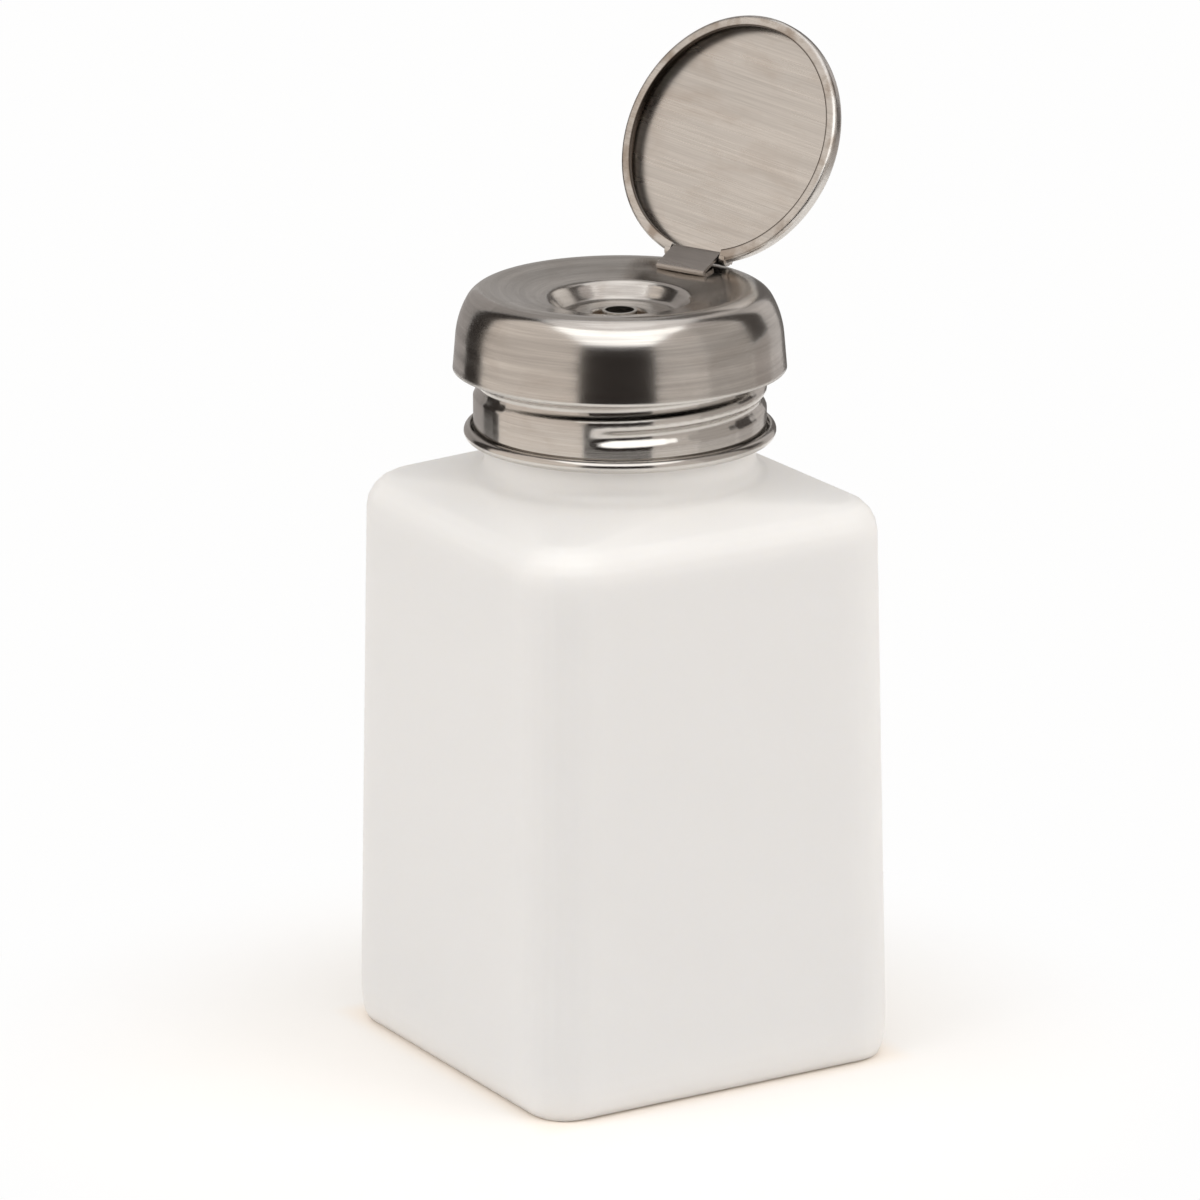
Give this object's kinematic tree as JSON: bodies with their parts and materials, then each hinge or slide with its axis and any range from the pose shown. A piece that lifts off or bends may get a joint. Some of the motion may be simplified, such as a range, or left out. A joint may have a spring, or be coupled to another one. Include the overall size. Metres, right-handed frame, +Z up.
{
  "type": "pump bottle",
  "caption": "Square dispensing bottle whose metal dish top is pressed to pump liquid, with a screw collar with a rolled thread and a hinged flip lid standing open.",
  "frame": {"origin": "centre of the base, on the surface that the bottle stands on", "axes": "X to the right of the bottle's front face, Y away from the front, Z up along the neck"},
  "size_m": [0.0571, 0.053, 0.1275],
  "materials": {
    "natural_polyethylene": "milky and translucent, softly shining",
    "polished_steel": "drawn stainless sheet, brushed round the axis and buffed",
    "brushed_steel": "drawn stainless sheet, finely brushed in one direction, lightly stained",
    "plain_steel": "plain stainless",
    "white_plastic": "moulded, white",
    "guide_plastic": "moulded, natural",
    "tube_plastic": "extruded, translucent",
    "seal_foam": "soft and matt",
    "seal_rubber": "black and matt"
  },
  "bodies": {
    "bottle_body": {"bottle": "natural_polyethylene"},
    "insert": {"neck_gasket": "seal_foam", "pump_cylinder": "white_plastic", "stem_guide": "guide_plastic", "stem_seal": "seal_rubber", "ball_retainer": "plain_steel", "return_spring": "plain_steel", "dip_tube": "tube_plastic"},
    "cap": {"collar": "polished_steel"},
    "foot_valve": {"inlet_ball": "plain_steel"},
    "plunger": {"piston": "white_plastic", "piston_cup": "seal_rubber"},
    "head": {"stem": "plain_steel", "stem_hub": "guide_plastic", "dome": "polished_steel", "hinge_bracket": "plain_steel"},
    "head_valve": {"outlet_ball": "plain_steel"},
    "flap": {"lid": "brushed_steel", "hinge_pin": "plain_steel"}
  },
  "joints": [
    {"name": "cap_lift", "type": "slide", "parent": "bottle_body", "child": "insert", "axis": [0, 0, 1], "range_m": [0, 0.00397]},
    {"name": "cap_turn", "type": "hinge", "parent": "insert", "child": "cap", "pos_m": [0, 0, 0.084], "axis": [0, 0, 1], "range_deg": [0, 450]},
    {"name": "pump_stroke", "type": "slide", "parent": "insert", "child": "plunger", "axis": [0, 0, -1], "range_m": [0, 0.004], "stiffness_N_per_m": 800, "springref_m": -0.001, "deforming": ["return_spring"]},
    {"name": "head_spin", "type": "hinge", "parent": "plunger", "child": "head", "pos_m": [0, 0, 0.094], "axis": [0, 0, 1], "continuous": true},
    {"name": "lid_hinge", "type": "hinge", "parent": "head", "child": "flap", "pos_m": [0.01494, 0.00573, 0.09918], "axis": [0.3584, -0.9336, 0], "range_deg": [0, 116]},
    {"name": "inlet_lift", "type": "slide", "parent": "insert", "child": "foot_valve", "axis": [0, 0, 1], "range_m": [0, 0.0008]},
    {"name": "outlet_lift", "type": "slide", "parent": "head", "child": "head_valve", "axis": [0, 0, 1], "range_m": [0, 0.0008]}
  ],
  "couplings": [
    {"joint": "cap_turn", "follows": "cap_lift", "rad_per_m": 1979}
  ]
}
